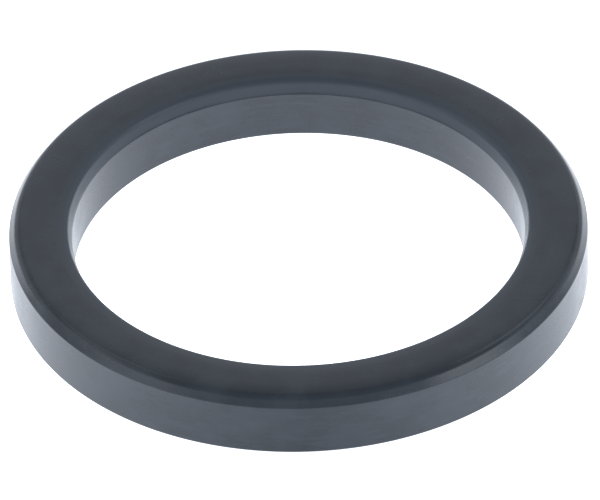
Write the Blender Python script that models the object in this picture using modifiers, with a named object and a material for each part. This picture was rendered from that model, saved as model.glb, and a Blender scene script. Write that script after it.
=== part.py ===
"""Group head gasket: one moulded rubber ring, bevelled on its upper face.

The ring presses into the round groove of a coffee machine's group head, bevelled face first, and the rim of the
filter holder seals against its flat underside. It is one solid, made by turning its section about the Z axis.
Units are metres. The origin is the centre of the underside, and +Z points up to the bevelled face.
"""

import math

import bpy

OUTER_DIAMETER = 0.0730
HEIGHT = 0.0085

# How wide the rubber is between the outer wall and the bore, which leaves a bore of 57 mm.
RUBBER_WIDTH = 0.0080

# The bevel between the upper face and the outer wall: how far it comes in, and how far it drops.
OUTER_BEVEL_WIDTH = 0.0009
OUTER_BEVEL_DROP = 0.0013

# The steeper bevel between the upper face and the bore.
BORE_BEVEL_WIDTH = 0.00065
BORE_BEVEL_DROP = 0.0020

# Radii that the mould leaves on the edges. The upper face turns into both of its bevels softly.
OUTER_FACE_EDGE_RADIUS = 0.0011
BORE_FACE_EDGE_RADIUS = 0.0009
WALL_EDGE_RADIUS = 0.0003
UNDERSIDE_EDGE_RADIUS = 0.0003

# A rounded edge takes at most this share of the shorter side beside it, so that two edges never meet.
LONGEST_EDGE_SHARE = 0.45

TURN_STEPS = 96
EDGE_STEPS = 3
MERGE_DISTANCE = 0.00001
SHARP_ANGLE = math.radians(30)

RUBBER_COLOUR = (0.034, 0.038, 0.045, 1.0)
RUBBER_ROUGHNESS = 0.42


def clear_scene():
    """Removes every object that the scene holds."""
    for thing in list(bpy.data.objects):
        bpy.data.objects.remove(thing, do_unlink=True)


def make_rubber():
    """The black rubber of the ring."""
    material = bpy.data.materials.new("black_rubber")
    material.use_nodes = True
    shader = material.node_tree.nodes["Principled BSDF"]
    shader.inputs["Base Color"].default_value = RUBBER_COLOUR
    shader.inputs["Roughness"].default_value = RUBBER_ROUGHNESS
    shader.inputs["Metallic"].default_value = 0.0
    return material


def section_corners():
    """The corners of the section as (radius, height, edge radius), down the outer side first."""
    outer = OUTER_DIAMETER / 2
    bore = outer - RUBBER_WIDTH
    return [
        (outer - OUTER_BEVEL_WIDTH, HEIGHT, OUTER_FACE_EDGE_RADIUS),
        (outer, HEIGHT - OUTER_BEVEL_DROP, WALL_EDGE_RADIUS),
        (outer, 0.0, UNDERSIDE_EDGE_RADIUS),
        (bore, 0.0, UNDERSIDE_EDGE_RADIUS),
        (bore, HEIGHT - BORE_BEVEL_DROP, WALL_EDGE_RADIUS),
        (bore + BORE_BEVEL_WIDTH, HEIGHT, BORE_FACE_EDGE_RADIUS),
    ]


def rounded_corner(before, corner, after):
    """The arc that rounds one corner of the section, as a list of (radius, height) points."""
    x, z, wanted_radius = corner
    to_before = (before[0] - x, before[1] - z)
    to_after = (after[0] - x, after[1] - z)
    length_before = math.hypot(*to_before)
    length_after = math.hypot(*to_after)
    angle_before = math.atan2(to_before[1], to_before[0])
    angle_after = math.atan2(to_after[1], to_after[0])
    turn = math.remainder(angle_after - angle_before, math.tau)
    half = abs(turn) / 2
    longest = LONGEST_EDGE_SHARE * min(length_before, length_after) * math.tan(half)
    radius = min(wanted_radius, longest)
    middle = angle_before + turn / 2
    centre_x = x + radius / math.sin(half) * math.cos(middle)
    centre_z = z + radius / math.sin(half) * math.sin(middle)
    sweep = math.copysign(math.pi - abs(turn), turn)
    first = middle + math.pi + sweep / 2
    points = []
    for step in range(EDGE_STEPS + 1):
        angle = first - sweep * step / EDGE_STEPS
        points.append((centre_x + radius * math.cos(angle), centre_z + radius * math.sin(angle)))
    return points


def section_outline():
    """The closed outline of the ring's section, with every corner rounded."""
    corners = section_corners()
    outline = []
    for number, corner in enumerate(corners):
        before = corners[number - 1]
        after = corners[(number + 1) % len(corners)]
        outline += rounded_corner(before, corner, after)
    return outline


def turn_ring(name, material, collection):
    """Turns the section about the Z axis into the whole ring."""
    outline = section_outline()
    count = len(outline)
    mesh = bpy.data.meshes.new(name)
    vertices = [(radius, 0.0, height) for radius, height in outline]
    edges = [(number, (number + 1) % count) for number in range(count)]
    mesh.from_pydata(vertices, edges, [])
    mesh.materials.append(material)
    ring = bpy.data.objects.new(name, mesh)
    collection.objects.link(ring)
    turned = ring.modifiers.new("turn", "SCREW")
    turned.axis = "Z"
    turned.angle = math.tau
    turned.steps = TURN_STEPS
    turned.render_steps = TURN_STEPS
    turned.use_merge_vertices = True
    turned.merge_threshold = MERGE_DISTANCE
    turned.use_smooth_shade = True
    return ring


def finish_mesh(ring):
    """Makes the turned ring a plain mesh, smooth round the turn and sharp at its creases."""
    graph = bpy.context.evaluated_depsgraph_get()
    mesh = bpy.data.meshes.new_from_object(ring.evaluated_get(graph))
    ring.modifiers.clear()
    ring.data = mesh
    mesh.shade_smooth()
    mesh.set_sharp_from_angle(angle=SHARP_ANGLE)


def main():
    clear_scene()
    collection = bpy.data.collections.new("group_head_gasket")
    bpy.context.scene.collection.children.link(collection)
    ring = turn_ring("gasket_ring", make_rubber(), collection)
    finish_mesh(ring)


main()
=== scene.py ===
"""Dresses the group head gasket: one turned rubber ring on a pale studio floor.

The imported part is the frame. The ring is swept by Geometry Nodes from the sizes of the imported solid, stands
for that solid, and wears a satin moulded rubber. A floor, soft lights and a long lens show it from above its
front.
"""

import logging
import math
from dataclasses import dataclass, field
from enum import Enum

import bpy
from mathutils import Matrix, Vector


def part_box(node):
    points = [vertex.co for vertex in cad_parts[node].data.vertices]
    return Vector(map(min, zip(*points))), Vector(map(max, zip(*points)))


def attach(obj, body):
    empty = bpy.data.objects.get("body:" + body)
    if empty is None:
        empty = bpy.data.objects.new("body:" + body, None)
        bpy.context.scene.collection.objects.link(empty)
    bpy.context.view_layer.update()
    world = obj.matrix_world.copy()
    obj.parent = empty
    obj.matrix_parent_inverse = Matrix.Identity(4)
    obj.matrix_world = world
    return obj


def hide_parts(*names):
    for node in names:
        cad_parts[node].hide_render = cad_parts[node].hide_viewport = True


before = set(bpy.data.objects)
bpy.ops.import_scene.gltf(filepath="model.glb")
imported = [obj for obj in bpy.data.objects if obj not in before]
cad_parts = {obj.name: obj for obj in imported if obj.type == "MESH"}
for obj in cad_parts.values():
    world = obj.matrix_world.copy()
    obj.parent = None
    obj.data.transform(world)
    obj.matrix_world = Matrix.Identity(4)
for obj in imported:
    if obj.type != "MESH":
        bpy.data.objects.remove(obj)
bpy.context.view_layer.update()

LOG = logging.getLogger("gasket_scene")

MM = 0.001
RING_NODE = "gasket_ring"
BODY = "root"

Colour = tuple[float, float, float]
Stretch = tuple[float, float, float]

# The slightly blue white that the lights, the lit table and the room share.
DAYLIGHT: Colour = (0.95, 1.0, 1.09)


class NodeGraph:
    """A node tree with one way to add a node: its kind, its settings, then its sockets."""

    def __init__(self, tree: bpy.types.NodeTree) -> None:
        """Starts on an empty tree.

        Args:
            tree: The tree to fill. Nodes that it holds already are removed.
        """
        self.tree = tree
        self.tree.nodes.clear()

    def node(self, kind: str, settings: dict | None = None, sockets: dict | None = None) -> bpy.types.Node:
        """Adds one node.

        Args:
            kind: The node's type, such as "ShaderNodeMath".
            settings: Properties of the node, set first. A ramp's stops go under "stops".
            sockets: Values or links by the name or the number of the input.

        Returns:
            The new node.
        """
        node = self.tree.nodes.new(kind)
        for name, value in (settings or {}).items():
            if name == "stops":
                self.set_stops(node.color_ramp, value)
            else:
                setattr(node, name, value)
        for key, value in (sockets or {}).items():
            self.feed(node.inputs[key], value)
        return node

    def feed(self, socket: bpy.types.NodeSocket, value: object) -> None:
        """Links a socket to a source, or sets its own value.

        Args:
            socket: The input to feed.
            value: A wire, an output socket, or a plain value.
        """
        source = value.socket if isinstance(value, Wire) else value
        if isinstance(source, bpy.types.NodeSocket):
            self.tree.links.new(source, socket)
        else:
            socket.default_value = source

    @staticmethod
    def set_stops(ramp: bpy.types.ColorRamp, stops: list[tuple[float, float]]) -> None:
        """Gives a ramp its grey stops.

        Args:
            ramp: The ramp, which starts with two stops.
            stops: Pairs of place and grey value, from low to high.
        """
        while len(ramp.elements) < len(stops):
            ramp.elements.new(0.5)
        for element, (place, grey) in zip(ramp.elements, stops):
            element.position = place
            element.color = (grey, grey, grey, 1.0)


class Wire:
    """A number that varies over a surface: one output socket, with the operators that the finish uses."""

    def __init__(self, graph: NodeGraph, socket: bpy.types.NodeSocket) -> None:
        """Wraps a socket.

        Args:
            graph: The graph that the socket's node is in.
            socket: The output socket.
        """
        self.graph = graph
        self.socket = socket

    def maths(self, operation: str, *values: "Wire | float") -> "Wire":
        """Adds one Math node.

        Args:
            operation: The operation of the Math node.
            values: Its inputs in order.

        Returns:
            The node's result.
        """
        node = self.graph.node("ShaderNodeMath", {"operation": operation}, dict(enumerate(values)))
        return Wire(self.graph, node.outputs[0])

    def __add__(self, other: "Wire | float") -> "Wire":
        """The sum."""
        return self.maths("ADD", self, other)

    __radd__ = __add__

    def __sub__(self, other: "Wire | float") -> "Wire":
        """The difference."""
        return self.maths("SUBTRACT", self, other)

    def __rsub__(self, other: float) -> "Wire":
        """The difference from a number."""
        return self.maths("SUBTRACT", other, self)

    def __mul__(self, other: "Wire | float") -> "Wire":
        """The product."""
        return self.maths("MULTIPLY", self, other)

    __rmul__ = __mul__

    def __truediv__(self, other: "Wire | float") -> "Wire":
        """The quotient."""
        return self.maths("DIVIDE", self, other)

    def __rtruediv__(self, other: float) -> "Wire":
        """A number divided by this."""
        return self.maths("DIVIDE", other, self)

    def __lt__(self, other: "Wire | float") -> "Wire":
        """One where this is less, and zero elsewhere."""
        return self.maths("LESS_THAN", self, other)

    def __abs__(self) -> "Wire":
        """The size without its sign."""
        return self.maths("ABSOLUTE", self)

    def root(self) -> "Wire":
        """The square root."""
        return self.maths("SQRT", self)

    def at_least(self, low: float) -> "Wire":
        """This, or the lowest value that is let through."""
        return self.maths("MAXIMUM", self, low)

    def ramp(self, low: float, high: float) -> "Wire":
        """Rises smoothly from zero to one.

        Args:
            low: The value that gives zero.
            high: The value that gives one. It may be less than low, for a fall.

        Returns:
            The smooth step.
        """
        settings = {"interpolation_type": "SMOOTHSTEP"}
        sockets = {"Value": self, "From Min": low, "From Max": high, "To Min": 0.0, "To Max": 1.0}
        return Wire(self.graph, self.graph.node("ShaderNodeMapRange", settings, sockets).outputs["Result"])


class ShaderGraph(NodeGraph):
    """The tree of one material, with short names for what the finish needs."""

    # How far from its middle a speck starts to fade and is gone, as shares of its width.
    SPECK_EDGE = (0.4, 0.6)
    SPECK_SCATTER = 0.9

    def __init__(self, material: bpy.types.Material) -> None:
        """Starts the material's tree.

        Args:
            material: The material to fill.
        """
        material.use_nodes = True
        super().__init__(material.node_tree)
        self.place = self.node("ShaderNodeTexCoord").outputs["Object"]

    def wire(self, socket: bpy.types.NodeSocket) -> Wire:
        """A socket as a wire."""
        return Wire(self, socket)

    def axes(self) -> tuple[Wire, Wire, Wire]:
        """The surface point's X, Y and Z in metres."""
        split = self.node("ShaderNodeSeparateXYZ", sockets={"Vector": self.place})
        return tuple(self.wire(split.outputs[axis]) for axis in "XYZ")

    def noise(self, grain: float, detail: float, roughness: float, stretch: Stretch = (1, 1, 1)) -> Wire:
        """Soft noise around one half.

        Args:
            grain: The size of its features in metres.
            detail: How many finer layers it has.
            roughness: How strong the finer layers are.
            stretch: How much finer it is along each axis.

        Returns:
            The noise, from zero to one.
        """
        place = self.node("ShaderNodeMapping", sockets={"Vector": self.place, "Scale": stretch}).outputs[0]
        sockets = {"Vector": place, "Scale": 1 / grain, "Detail": detail, "Roughness": roughness}
        return self.wire(self.node("ShaderNodeTexNoise", {"noise_dimensions": "3D"}, sockets).outputs["Fac"])

    def specks(self, spacing: float, diameter: float, share: float) -> Wire:
        """Sparse round specks.

        Args:
            spacing: The size of the cells that may each hold one speck, in metres.
            diameter: How wide a speck is, in metres.
            share: The share of the cells that hold one.

        Returns:
            One on a speck and zero elsewhere.
        """
        sockets = {"Vector": self.place, "Scale": 1 / spacing, "Randomness": self.SPECK_SCATTER}
        cells = self.node("ShaderNodeTexVoronoi", {"feature": "F1"}, sockets)
        split = self.node("ShaderNodeSeparateColor", sockets={"Color": cells.outputs["Color"]})
        luck = self.wire(split.outputs[0])
        full, gone = (part * diameter / spacing for part in self.SPECK_EDGE)
        near = self.wire(cells.outputs["Distance"]).ramp(gone, full)
        return near * (luck < share)

    def blend(
        self, mask: Wire, first: Colour | bpy.types.NodeSocket, second: Colour | bpy.types.NodeSocket
    ) -> bpy.types.NodeSocket:
        """Mixes two colours, which a Mix node takes at its inputs 6 and 7 and gives at its output 2.

        Args:
            mask: How much of the second colour shows.
            first: A colour, or the socket of one.
            second: A colour, or the socket of one.

        Returns:
            The socket of the mixed colour.
        """
        node = self.node("ShaderNodeMix", {"data_type": "RGBA"}, {0: mask})
        for key, colour in ((6, first), (7, second)):
            plain = not isinstance(colour, bpy.types.NodeSocket)
            self.feed(node.inputs[key], (*colour, 1.0) if plain else colour)
        return node.outputs[2]

    def scaled(self, colour: Colour, level: Wire) -> bpy.types.NodeSocket:
        """A colour made brighter or darker from place to place.

        Args:
            colour: The plain colour.
            level: How bright it is.

        Returns:
            The socket of the colour.
        """
        sockets = {0: colour, "Scale": level}
        return self.node("ShaderNodeVectorMath", {"operation": "SCALE"}, sockets).outputs[0]

    def bump(self, height: Wire, depth: float) -> bpy.types.NodeSocket:
        """Turns a height into a bent normal.

        Args:
            height: The height, from zero to one.
            depth: What a height of one means, in metres.

        Returns:
            The socket of the normal.
        """
        sockets = {"Height": height, "Distance": depth, "Strength": 1.0}
        return self.node("ShaderNodeBump", sockets=sockets).outputs["Normal"]

    def finish(self, sockets: dict) -> None:
        """Ends the tree in one shader.

        Args:
            sockets: Values or links of the shader's inputs, by name.
        """
        shader = self.node("ShaderNodeBsdfPrincipled", sockets=sockets)
        self.node("ShaderNodeOutputMaterial", sockets={"Surface": shader.outputs["BSDF"]})


@dataclass(frozen=True)
class Rubber:
    """The satin finish of moulded black rubber.

    Attributes:
        name: The material's name.
        colour: The plain rubber.
        bloom: The paler haze that wax leaves on rubber, in broad soft patches.
        streak_grey_and_bevel_light: The greyer rubber of the streaks, and a painted light on the bore's bevel,
            which is painted paler where it shows brighter.
        dust: The colour of a speck of dust.
        refraction: The rubber's index of refraction.
        roughness: How dull the plain rubber is.
        haze_roughness: How much duller the haze makes it.
        bevel_roughness: How much duller the bore's bevel is.
        grain_roughness: How far apart the dullest and the brightest grain are.
        streak_roughness: How much duller the streaks are.
        bevel_reach: The radius that the painted light on the bore's bevel fades out at.
        bevel_fade: How far it takes to fade.
        bevel_foot: The height that the painted light on the bore's bevel starts at, and that the walls' streaks
            end at.
        foot_fade: How far from that height the change reaches.
        patch: The size of the haze's patches.
        patch_band: The values of their noise where the haze starts and where it is full.
        grain: The size of the mould's fine grain.
        grain_depth: How deep that grain is.
        streak: The length of the flow streaks that the mould leaves along the walls.
        streak_stretch: How much finer the streaks are along each axis.
        streak_band: The values of their noise where a streak starts and where it is full.
        streak_share: How much of the greyer rubber a full streak shows.
        dust_spacing: The size of the cells that may each hold one speck.
        dust_width: How wide a speck is.
        dust_share: The share of the cells that hold one.
    """

    name: str = "black_rubber"
    colour: Colour = (0.012, 0.018, 0.026)
    bloom: Colour = (0.020, 0.028, 0.037)
    # This grey also paints the bore's bevel paler: painted light where that bevel shows brighter, besides the
    # tone of the streaks.
    streak_grey_and_bevel_light: Colour = (0.031, 0.041, 0.053)
    dust: Colour = (0.35, 0.36, 0.38)
    refraction: float = 1.5
    roughness: float = 0.24
    haze_roughness: float = 0.06
    bevel_roughness: float = 0.16
    grain_roughness: float = 0.06
    streak_roughness: float = 0.05
    bevel_reach: float = 31.0 * MM
    bevel_fade: float = 1.6 * MM
    bevel_foot: float = 6.6 * MM
    foot_fade: float = 0.2 * MM
    patch: float = 5.0 * MM
    patch_band: tuple[float, float] = (0.35, 0.70)
    grain: float = 0.28 * MM
    grain_depth: float = 0.0022 * MM
    streak: float = 4.0 * MM
    streak_stretch: Stretch = (1, 1, 6)
    streak_band: tuple[float, float] = (0.48, 0.72)
    streak_share: float = 0.4
    dust_spacing: float = 5.0 * MM
    dust_width: float = 0.17 * MM
    dust_share: float = 0.08

    def build(self) -> bpy.types.Material:
        """Makes the material.

        Returns:
            The material, ready for a piece.
        """
        material = bpy.data.materials.new(self.name)
        graph = ShaderGraph(material)
        haze = graph.noise(self.patch, detail=3.0, roughness=0.6).ramp(*self.patch_band)
        grain = graph.noise(self.grain, detail=2.0, roughness=0.6)
        streaks = graph.noise(self.streak, detail=2.0, roughness=0.5, stretch=self.streak_stretch)
        dust = graph.specks(self.dust_spacing, self.dust_width, self.dust_share)
        across, along, up = graph.axes()
        away = (across * across + along * along).root()
        reach, foot, fade = self.bevel_reach, self.bevel_foot, self.foot_fade
        # Painted light: the bore's bevel and the inner edge of the upper face are painted paler here, and also
        # made duller.
        bevel = away.ramp(reach, reach - self.bevel_fade) * up.ramp(foot - fade, foot + fade)
        wall = up.ramp(foot, foot - 2 * fade)
        colour = graph.blend(haze, self.colour, self.bloom)
        # The painted light on the bore's bevel: a paler grey over the plain rubber.
        colour = graph.blend(bevel, colour, self.streak_grey_and_bevel_light)
        colour = graph.blend(wall * streaks.ramp(*self.streak_band) * self.streak_share, colour, self.streak_grey_and_bevel_light)
        colour = graph.blend(dust, colour, self.dust)
        dullness = haze * self.haze_roughness + bevel * self.bevel_roughness + self.roughness
        dullness = dullness + wall * streaks * self.streak_roughness + (grain - 0.5) * self.grain_roughness
        graph.finish({
            "Base Color": colour,
            "Roughness": dullness,
            "Metallic": 0.0,
            "IOR": self.refraction,
            "Normal": graph.bump(grain, self.grain_depth),
        })
        return material


class SweepInput(Enum):
    """The named inputs of the ring's Geometry Nodes tree: the socket's name and its type."""

    OUTER_RADIUS = ("Outer Radius", "NodeSocketFloat")
    BORE_RADIUS = ("Bore Radius", "NodeSocketFloat")
    HEIGHT = ("Height", "NodeSocketFloat")
    OUTER_BEVEL_WIDTH = ("Outer Bevel Width", "NodeSocketFloat")
    OUTER_BEVEL_DROP = ("Outer Bevel Drop", "NodeSocketFloat")
    BORE_BEVEL_WIDTH = ("Bore Bevel Width", "NodeSocketFloat")
    BORE_BEVEL_DROP = ("Bore Bevel Drop", "NodeSocketFloat")
    OUTER_FACE_EDGE = ("Outer Face Edge Radius", "NodeSocketFloat")
    BORE_FACE_EDGE = ("Bore Face Edge Radius", "NodeSocketFloat")
    WALL_EDGE = ("Wall Edge Radius", "NodeSocketFloat")
    UNDERSIDE_EDGE = ("Underside Edge Radius", "NodeSocketFloat")
    CROWN = ("Crown", "NodeSocketFloat")
    EDGE_STEPS = ("Edge Steps", "NodeSocketInt")
    SIDE_STEP = ("Side Step", "NodeSocketFloat")
    TURN_STEPS = ("Turn Steps", "NodeSocketInt")
    WAVE_DEPTH = ("Wave Depth", "NodeSocketFloat")
    WAVE_LENGTH = ("Wave Length", "NodeSocketFloat")
    WAVE_SEED = ("Wave Seed", "NodeSocketFloat")
    RUBBER = ("Rubber", "NodeSocketMaterial")


class SweepGraph(NodeGraph):
    """The Geometry Nodes tree that sweeps the ring's section round its axis."""

    # The share of the height that the crown starts above. It acts in full at the upper face.
    CROWN_START = 0.6

    def __init__(self) -> None:
        """Makes the tree and its named inputs."""
        tree = bpy.data.node_groups.new("ring_sweep", "GeometryNodeTree")
        self.sockets = {}
        for item in SweepInput:
            name, kind = item.value
            self.sockets[item] = tree.interface.new_socket(name=name, in_out="INPUT", socket_type=kind)
        tree.interface.new_socket(name="Ring", in_out="OUTPUT", socket_type="NodeSocketGeometry")
        super().__init__(tree)
        self.given = self.node("NodeGroupInput").outputs
        self.build()

    def size(self, item: SweepInput) -> Wire:
        """A named input as a wire."""
        return Wire(self, self.given[item.value[0]])

    def point(self, radius: Wire, height: Wire | float) -> bpy.types.NodeSocket:
        """A corner of the section, from its radius and height. A swept section has its Y pointing down."""
        from_bore = radius - self.size(SweepInput.BORE_RADIUS)
        return self.node("ShaderNodeCombineXYZ", sockets={"X": from_bore, "Y": height * -1.0}).outputs[0]

    def moved(
        self, geometry: bpy.types.NodeSocket, way: str, move: bpy.types.NodeSocket
    ) -> bpy.types.NodeSocket:
        """A geometry whose points have a new place.

        Args:
            geometry: The geometry to move.
            way: What the move is, "Position" for a new place or "Offset" for a step from the old one.
            move: The socket of that place or step.

        Returns:
            The socket of the moved geometry.
        """
        return self.node("GeometryNodeSetPosition", sockets={"Geometry": geometry, way: move}).outputs[0]

    def choice(self, kind: str, number: bpy.types.NodeSocket, values: list) -> bpy.types.NodeSocket:
        """Picks one of several values by a number.

        Args:
            kind: The type of the values, "VECTOR" or "FLOAT".
            number: Which value to take, from zero.
            values: The values in order.

        Returns:
            The socket of the picked value.
        """
        switch = self.node("GeometryNodeIndexSwitch", {"data_type": kind}, {"Index": number})
        while len(switch.index_switch_items) < len(values):
            switch.index_switch_items.new()
        for place, value in enumerate(values):
            self.feed(switch.inputs[place + 1], value)
        return switch.outputs[0]

    def section(self) -> bpy.types.NodeSocket:
        """The closed section: six corners, each rounded, with its long sides cut into short steps.

        Returns:
            The socket of the section's curve.
        """
        outer = self.size(SweepInput.OUTER_RADIUS)
        bore = self.size(SweepInput.BORE_RADIUS)
        height = self.size(SweepInput.HEIGHT)
        corners = [
            self.point(outer - self.size(SweepInput.OUTER_BEVEL_WIDTH), height),
            self.point(outer, height - self.size(SweepInput.OUTER_BEVEL_DROP)),
            self.point(outer, 0.0),
            self.point(bore, 0.0),
            self.point(bore, height - self.size(SweepInput.BORE_BEVEL_DROP)),
            self.point(bore + self.size(SweepInput.BORE_BEVEL_WIDTH), height),
        ]
        edges = [self.size(SweepInput.OUTER_FACE_EDGE), self.size(SweepInput.WALL_EDGE)]
        edges += [self.size(SweepInput.UNDERSIDE_EDGE)] * 2
        edges += [self.size(SweepInput.WALL_EDGE), self.size(SweepInput.BORE_FACE_EDGE)]
        number = self.node("GeometryNodeInputIndex").outputs[0]
        sockets = {"Resolution": len(corners)}
        blank = self.node("GeometryNodeCurvePrimitiveCircle", sockets=sockets).outputs["Curve"]
        sockets = {
            "Curve": self.moved(blank, "Position", self.choice("VECTOR", number, corners)),
            "Count": self.size(SweepInput.EDGE_STEPS),
            "Radius": self.choice("FLOAT", number, edges),
            "Limit Radius": True,
        }
        rounded = self.node("GeometryNodeFilletCurve", {"mode": "POLY"}, sockets).outputs["Curve"]
        sockets = {"Curve": rounded, "Cuts": self.side_length() / self.size(SweepInput.SIDE_STEP)}
        stepped = self.node("GeometryNodeSubdivideCurve", sockets=sockets).outputs["Curve"]
        return self.moved(stepped, "Offset", self.crown())

    def crown(self) -> bpy.types.NodeSocket:
        """How far the upper face falls away from its middle line, towards both of its edges.

        The fall grows with the cube of the distance aside, which is one at the bore and at the outer wall.

        Returns:
            The socket of the offset at each point of the section, whose Y points down.
        """
        place = self.node("GeometryNodeInputPosition").outputs[0]
        place = self.node("ShaderNodeSeparateXYZ", sockets={"Vector": place}).outputs
        half = (self.size(SweepInput.OUTER_RADIUS) - self.size(SweepInput.BORE_RADIUS)) * 0.5
        aside = Wire(self, place["X"]) / half - 1.0
        near_top = (Wire(self, place["Y"]) / self.size(SweepInput.HEIGHT) * -1.0).ramp(self.CROWN_START, 1.0)
        fall = aside * aside * abs(aside) * near_top * self.size(SweepInput.CROWN)
        return self.node("ShaderNodeCombineXYZ", sockets={"Y": fall}).outputs[0]

    def side_length(self) -> Wire:
        """How far each point of a curve is from the next one."""
        place = self.node("GeometryNodeInputPosition").outputs[0]
        after = self.node("GeometryNodeOffsetPointInCurve", sockets={"Offset": 1}).outputs["Point Index"]
        settings = {"data_type": "FLOAT_VECTOR", "domain": "POINT"}
        sockets = {"Index": after, "Value": place}
        next_place = self.node("GeometryNodeFieldAtIndex", settings, sockets).outputs[0]
        step = self.node("ShaderNodeVectorMath", {"operation": "DISTANCE"}, {0: place, 1: next_place})
        return Wire(self, step.outputs["Value"])

    def build(self) -> None:
        """Sweeps the section, lets the mould's slight waves into it, and gives it its rubber."""
        sockets = {
            "Resolution": self.size(SweepInput.TURN_STEPS),
            "Radius": self.size(SweepInput.BORE_RADIUS),
        }
        turn = self.node("GeometryNodeCurvePrimitiveCircle", sockets=sockets).outputs["Curve"]
        turn = self.node("GeometryNodeSetCurveNormal", {"mode": "Z_UP"}, {"Curve": turn}).outputs[0]
        sockets = {"Curve": turn, "Profile Curve": self.section()}
        swept = self.node("GeometryNodeCurveToMesh", sockets=sockets).outputs["Mesh"]
        wavy = self.moved(swept, "Offset", self.waves())
        smooth = self.node("GeometryNodeSetShadeSmooth", sockets={"Geometry": wavy}).outputs[0]
        whole = self.node("GeometryNodeRealizeInstances", sockets={"Geometry": smooth}).outputs[0]
        sockets = {"Geometry": whole, "Material": self.size(SweepInput.RUBBER)}
        clad = self.node("GeometryNodeSetMaterial", sockets=sockets).outputs[0]
        self.node("NodeGroupOutput", sockets={"Ring": clad})

    def waves(self) -> bpy.types.NodeSocket:
        """The slight hollows of moulded rubber, which only go inwards.

        Returns:
            The socket of the offset at each point.
        """
        sockets = {
            "W": self.size(SweepInput.WAVE_SEED),
            "Scale": 1.0 / self.size(SweepInput.WAVE_LENGTH),
            "Detail": 1.0,
        }
        hollow = self.node("ShaderNodeTexNoise", {"noise_dimensions": "4D"}, sockets).outputs["Fac"]
        normal = self.node("GeometryNodeInputNormal").outputs["Normal"]
        inwards = Wire(self, hollow) * self.size(SweepInput.WAVE_DEPTH) * -1.0
        scale = self.node("ShaderNodeVectorMath", {"operation": "SCALE"}, {0: normal, "Scale": inwards})
        return scale.outputs[0]


@dataclass
class GasketRing:
    """The moulded ring.

    Attributes:
        rubber: Its finish.
        outer_bevel_width: How far the outer bevel comes in over the upper face.
        outer_bevel_drop: How far that bevel drops down the outer wall.
        bore_bevel_width: How far the bore's bevel goes out over the upper face.
        bore_bevel_drop: How far that bevel drops down the bore wall.
        outer_face_edge: The radius between the upper face and the outer bevel.
        bore_face_edge: The radius between the upper face and the bore's bevel.
        wall_edge: The radius between each bevel and its wall.
        underside_edge: The radius of the underside's two edges.
        crown: How far the upper face would fall from its middle line to the walls, if no bevel cut it.
        edge_steps: How many steps a rounded edge has.
        side_step: The length of one step along a flat side.
        turn_steps: How many steps the sweep has round the axis.
        wave_depth: How deep the mould's slight hollows are.
        wave_length: How wide those hollows are.
        wave_seed: Which set of hollows it has.
    """

    rubber: Rubber = field(default_factory=Rubber)
    outer_bevel_width: float = 0.9 * MM
    outer_bevel_drop: float = 1.3 * MM
    bore_bevel_width: float = 0.65 * MM
    bore_bevel_drop: float = 2.0 * MM
    outer_face_edge: float = 1.1 * MM
    bore_face_edge: float = 0.9 * MM
    wall_edge: float = 0.3 * MM
    underside_edge: float = 0.3 * MM
    crown: float = 0.32 * MM
    edge_steps: int = 10
    side_step: float = 0.30 * MM
    turn_steps: int = 600
    wave_depth: float = 0.02 * MM
    wave_length: float = 9.0 * MM
    wave_seed: float = 3.0

    def build(self) -> bpy.types.Object:
        """Sweeps the ring, dresses it and hands it to the frame.

        Returns:
            The finished piece.
        """
        tree = SweepGraph()
        blank = bpy.data.objects.new("ring_blank", bpy.data.meshes.new("ring_blank"))
        bpy.context.scene.collection.objects.link(blank)
        sweep = blank.modifiers.new("sweep", "NODES")
        sweep.node_group = tree.tree
        for item, value in self.sizes().items():
            sweep[tree.sockets[item].identifier] = value
        graph = bpy.context.evaluated_depsgraph_get()
        mesh = bpy.data.meshes.new_from_object(blank.evaluated_get(graph))
        blank.modifiers.remove(sweep)
        bpy.data.objects.remove(blank)
        mesh.name = "rubber_ring"
        piece = bpy.data.objects.new("rubber_ring", mesh)
        bpy.context.scene.collection.objects.link(piece)
        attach(piece, BODY)
        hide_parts(RING_NODE)
        LOG.info("%s: %d faces", piece.name, len(mesh.polygons))
        return piece

    def sizes(self) -> dict[SweepInput, object]:
        """What each named input of the sweep gets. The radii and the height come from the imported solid.

        Returns:
            The values by input.
        """
        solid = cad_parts[RING_NODE].data
        radii = [math.hypot(vertex.co.x, vertex.co.y) for vertex in solid.vertices]
        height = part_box(RING_NODE)[1][2]
        return {
            SweepInput.OUTER_RADIUS: max(radii),
            SweepInput.BORE_RADIUS: min(radii),
            SweepInput.HEIGHT: height,
            SweepInput.OUTER_BEVEL_WIDTH: self.outer_bevel_width,
            SweepInput.OUTER_BEVEL_DROP: self.outer_bevel_drop,
            SweepInput.BORE_BEVEL_WIDTH: self.bore_bevel_width,
            SweepInput.BORE_BEVEL_DROP: self.bore_bevel_drop,
            SweepInput.OUTER_FACE_EDGE: self.outer_face_edge,
            SweepInput.BORE_FACE_EDGE: self.bore_face_edge,
            SweepInput.WALL_EDGE: self.wall_edge,
            SweepInput.UNDERSIDE_EDGE: self.underside_edge,
            SweepInput.CROWN: self.crown,
            SweepInput.EDGE_STEPS: self.edge_steps,
            SweepInput.SIDE_STEP: self.side_step,
            SweepInput.TURN_STEPS: self.turn_steps,
            SweepInput.WAVE_DEPTH: self.wave_depth,
            SweepInput.WAVE_LENGTH: self.wave_length,
            SweepInput.WAVE_SEED: self.wave_seed,
            SweepInput.RUBBER: self.rubber.build(),
        }


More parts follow.
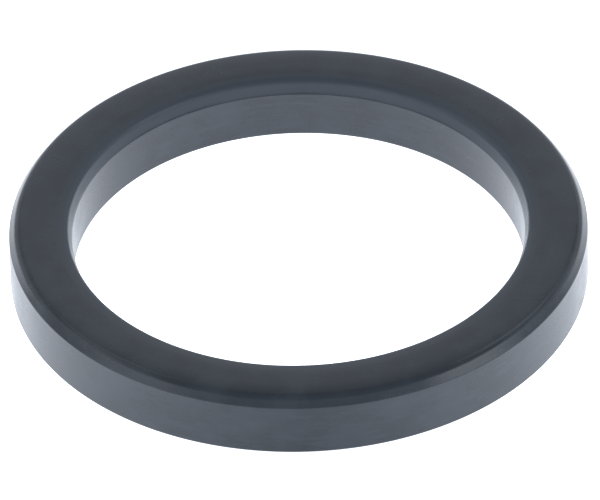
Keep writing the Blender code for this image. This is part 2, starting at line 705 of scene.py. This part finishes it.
@dataclass(frozen=True)
class Softbox:
    """One soft light, hung round the ring and aimed at it.

    Attributes:
        name: What the light is called.
        azimuth: Where it hangs, in degrees from +X towards +Y.
        elevation: How high it hangs, in degrees.
        radiance: How bright its face is, where the floor's white is about one.
        width: Its width in metres.
        height: Its height in metres.
        distance: How far it hangs from the ring.
    """

    name: str
    azimuth: float
    elevation: float
    radiance: float
    width: float
    height: float
    distance: float = 2.4

    def build(self) -> bpy.types.Object:
        """Hangs the light.

        Returns:
            The light's object.
        """
        around, up = math.radians(self.azimuth), math.radians(self.elevation)
        way = Vector((math.cos(up) * math.cos(around), math.cos(up) * math.sin(around), math.sin(up)))
        lamp = bpy.data.lights.new(self.name, "AREA")
        lamp.shape = "RECTANGLE"
        lamp.size = self.width
        lamp.size_y = self.height
        lamp.energy = self.radiance * math.pi * self.width * self.height
        lamp.color = DAYLIGHT
        thing = bpy.data.objects.new(self.name, lamp)
        thing.location = way * self.distance
        thing.rotation_euler = way.to_track_quat("Z", "Y").to_euler()
        thing.visible_camera = False
        bpy.context.scene.collection.objects.link(thing)
        return thing


@dataclass
class Studio:
    """The pale floor, the lights and the room's own dim light.

    Attributes:
        floor_side: The floor's length and width.
        floor_gap: How far the floor lies below the ring, so that the two never fight for a pixel.
        floor_colour: The floor's paint.
        floor_roughness: How dull that paint is.
        table_glow: How brightly the floor, a lit table, shines by itself.
        inner_glow: How much brighter it shines under the ring.
        right_glow: How much brighter it shines to the ring's right.
        left_glow: How much brighter it shines to the left.
        front_glow: How much brighter it shines in front.
        ring_reach: The radius where the inner glow ends and the glow beside the ring begins.
        ring_fade: How far that change takes.
        table_reach: The radius where the glow beside the ring has faded out.
        table_fade: How far that takes.
        room: The sine of a height over the horizon, and how bright the room is there, from low to high.
        room_strength: What the room's levels are divided by in its ramp, which holds values up to one.
        softboxes: The lights.
    """

    floor_side: float = 6.0
    floor_gap: float = 0.05 * MM
    floor_colour: Colour = (0.80, 0.80, 0.80)
    floor_roughness: float = 0.9
    table_glow: float = 0.55
    inner_glow: float = 1.05
    right_glow: float = 1.15
    left_glow: float = 1.10
    front_glow: float = 0.36
    ring_reach: float = 33 * MM
    ring_fade: float = 2 * MM
    table_reach: float = 300 * MM
    table_fade: float = 150 * MM
    room: tuple[tuple[float, float], ...] = (
        (0.10, 0.60),
        (0.34, 1.10),
        (0.50, 0.68),
        (0.66, 0.38),
        (0.80, 0.60),
        (0.93, 0.50),
    )
    room_strength: float = 2.0
    softboxes: tuple[Softbox, ...] = (
        Softbox("right_front", azimuth=-23.0, elevation=22.0, radiance=2.30, width=1.30, height=0.62),
        Softbox("left_front", azimuth=205.0, elevation=22.0, radiance=0.85, width=1.50, height=0.62),
        Softbox("back", azimuth=90.0, elevation=35.0, radiance=0.36, width=1.05, height=0.80),
        Softbox("left", azimuth=178.0, elevation=40.0, radiance=0.90, width=1.05, height=0.80),
        Softbox("right_high", azimuth=40.0, elevation=52.0, radiance=1.00, width=1.00, height=0.80),
        Softbox("left_high", azimuth=138.0, elevation=57.0, radiance=0.65, width=1.00, height=0.80),
        Softbox("front_left_low", azimuth=235.0, elevation=6.0, radiance=1.20, width=1.60, height=0.46),
        Softbox("front_right_low", azimuth=290.0, elevation=6.0, radiance=1.20, width=1.60, height=0.46),
    )

    def build(self) -> None:
        """Lays the floor, hangs the lights and fills the room."""
        self.lay_floor()
        for softbox in self.softboxes:
            softbox.build()
        self.fill_room()
        view = bpy.context.scene.view_settings
        view.view_transform = "Standard"
        view.look = "None"
        LOG.info("studio: a floor and %d lights", len(self.softboxes))

    def lay_floor(self) -> None:
        """Makes the floor, which isn't part of the object."""
        half = self.floor_side / 2
        corners = [(-half, -half), (half, -half), (half, half), (-half, half)]
        mesh = bpy.data.meshes.new("studio_floor")
        mesh.from_pydata([(x, y, -self.floor_gap) for x, y in corners], [], [(0, 1, 2, 3)])
        floor = bpy.data.objects.new("studio_floor", mesh)
        bpy.context.scene.collection.objects.link(floor)
        material = bpy.data.materials.new("floor_paint")
        graph = ShaderGraph(material)
        graph.finish({
            "Base Color": (*self.floor_colour, 1.0),
            "Roughness": self.floor_roughness,
            "Specular IOR Level": 0.0,
            "Emission Color": graph.scaled(DAYLIGHT, self.glow(graph)),
            "Emission Strength": 1.0,
        })
        mesh.materials.append(material)

    def glow(self, graph: ShaderGraph) -> Wire:
        """How brightly the table shines, place by place.

        Args:
            graph: The graph of the floor's material.

        Returns:
            The brightness.
        """
        across, along, _ = graph.axes()
        away = (across * across + along * along + self.floor_gap ** 2).root()
        rim, reach = self.ring_reach - self.ring_fade, self.table_reach
        level = away.ramp(self.ring_reach, rim) * self.inner_glow
        beside = away.ramp(reach, reach - self.table_fade) * away.ramp(rim, self.ring_reach)
        sides = (
            (across, self.right_glow),
            (across * -1.0, self.left_glow),
            (along * -1.0, self.front_glow),
        )
        for side, share in sides:
            level = level + (side / away).at_least(0.0) * beside * share
        return level + self.table_glow

    def fill_room(self) -> None:
        """Gives the world its soft white, by the height that it comes from."""
        world = bpy.data.worlds.new("room")
        world.use_nodes = True
        graph = NodeGraph(world.node_tree)
        way = graph.node("ShaderNodeTexCoord").outputs["Generated"]
        height = graph.node("ShaderNodeSeparateXYZ", sockets={"Vector": way}).outputs["Z"]
        settings = {"stops": [(place, level / self.room_strength) for place, level in self.room]}
        grey = graph.node("ShaderNodeValToRGB", settings, {"Fac": height}).outputs["Color"]
        sockets = {0: grey, 1: DAYLIGHT}
        tinted = graph.node("ShaderNodeVectorMath", {"operation": "MULTIPLY"}, sockets).outputs[0]
        light = graph.node("ShaderNodeBackground", sockets={"Color": tinted, "Strength": self.room_strength})
        graph.node("ShaderNodeOutputWorld", sockets={"Surface": light.outputs[0]})
        bpy.context.scene.world = world


@dataclass
class LongLens:
    """The camera, a long lens above the ring's front.

    Attributes:
        distance: From the centre of the underside.
        elevation: How high the camera stands over the floor, in degrees.
        pitch: How far down it looks, in degrees.
        yaw: How far it looks to the right of the ring's centre, in degrees.
        roll: How far it is turned about its own line of sight, in degrees.
        focal_pixels: The focal length in pixels of the frame.
        frame_pixels: How many pixels wide the frame is.
        sensor: How wide the camera's sensor is, in millimetres.
        sight: How far the camera sees, in metres.
    """

    distance: float = 1.5695
    elevation: float = 38.088
    pitch: float = 37.989
    yaw: float = 0.0065
    roll: float = -1.479
    focal_pixels: float = 12422.0
    frame_pixels: float = 600.0
    sensor: float = 36.0
    sight: float = 20.0

    def build(self) -> bpy.types.Object:
        """Sets the camera up.

        Returns:
            The camera's object.
        """
        up, down = math.radians(self.elevation), math.radians(self.pitch)
        aside, turned = math.radians(self.yaw), math.radians(self.roll)
        ahead = Vector((math.sin(aside) * math.cos(down), math.cos(aside) * math.cos(down), -math.sin(down)))
        right = Vector((math.cos(aside), -math.sin(aside), 0.0))
        above = right.cross(ahead)
        level = Matrix((right, above, -ahead)).transposed()
        lens = bpy.data.cameras.new("long_lens")
        lens.sensor_fit = "HORIZONTAL"
        lens.sensor_width = self.sensor
        lens.lens = self.focal_pixels / self.frame_pixels * self.sensor
        lens.clip_end = self.sight
        camera = bpy.data.objects.new("long_lens", lens)
        place = Vector((0.0, -math.cos(up), math.sin(up))) * self.distance
        turn = (level @ Matrix.Rotation(turned, 3, "Z")).to_4x4()
        camera.matrix_world = Matrix.Translation(place) @ turn
        bpy.context.scene.collection.objects.link(camera)
        bpy.context.scene.camera = camera
        LOG.info("camera: %.0f mm lens at %.2f m", lens.lens, self.distance)
        return camera


def main() -> None:
    """Builds the ring, the studio and the camera, in that order."""
    logging.basicConfig(level=logging.INFO, format="%(name)s: %(message)s")
    GasketRing().build()
    Studio().build()
    LongLens().build()


if __name__ == "__main__":
    main()
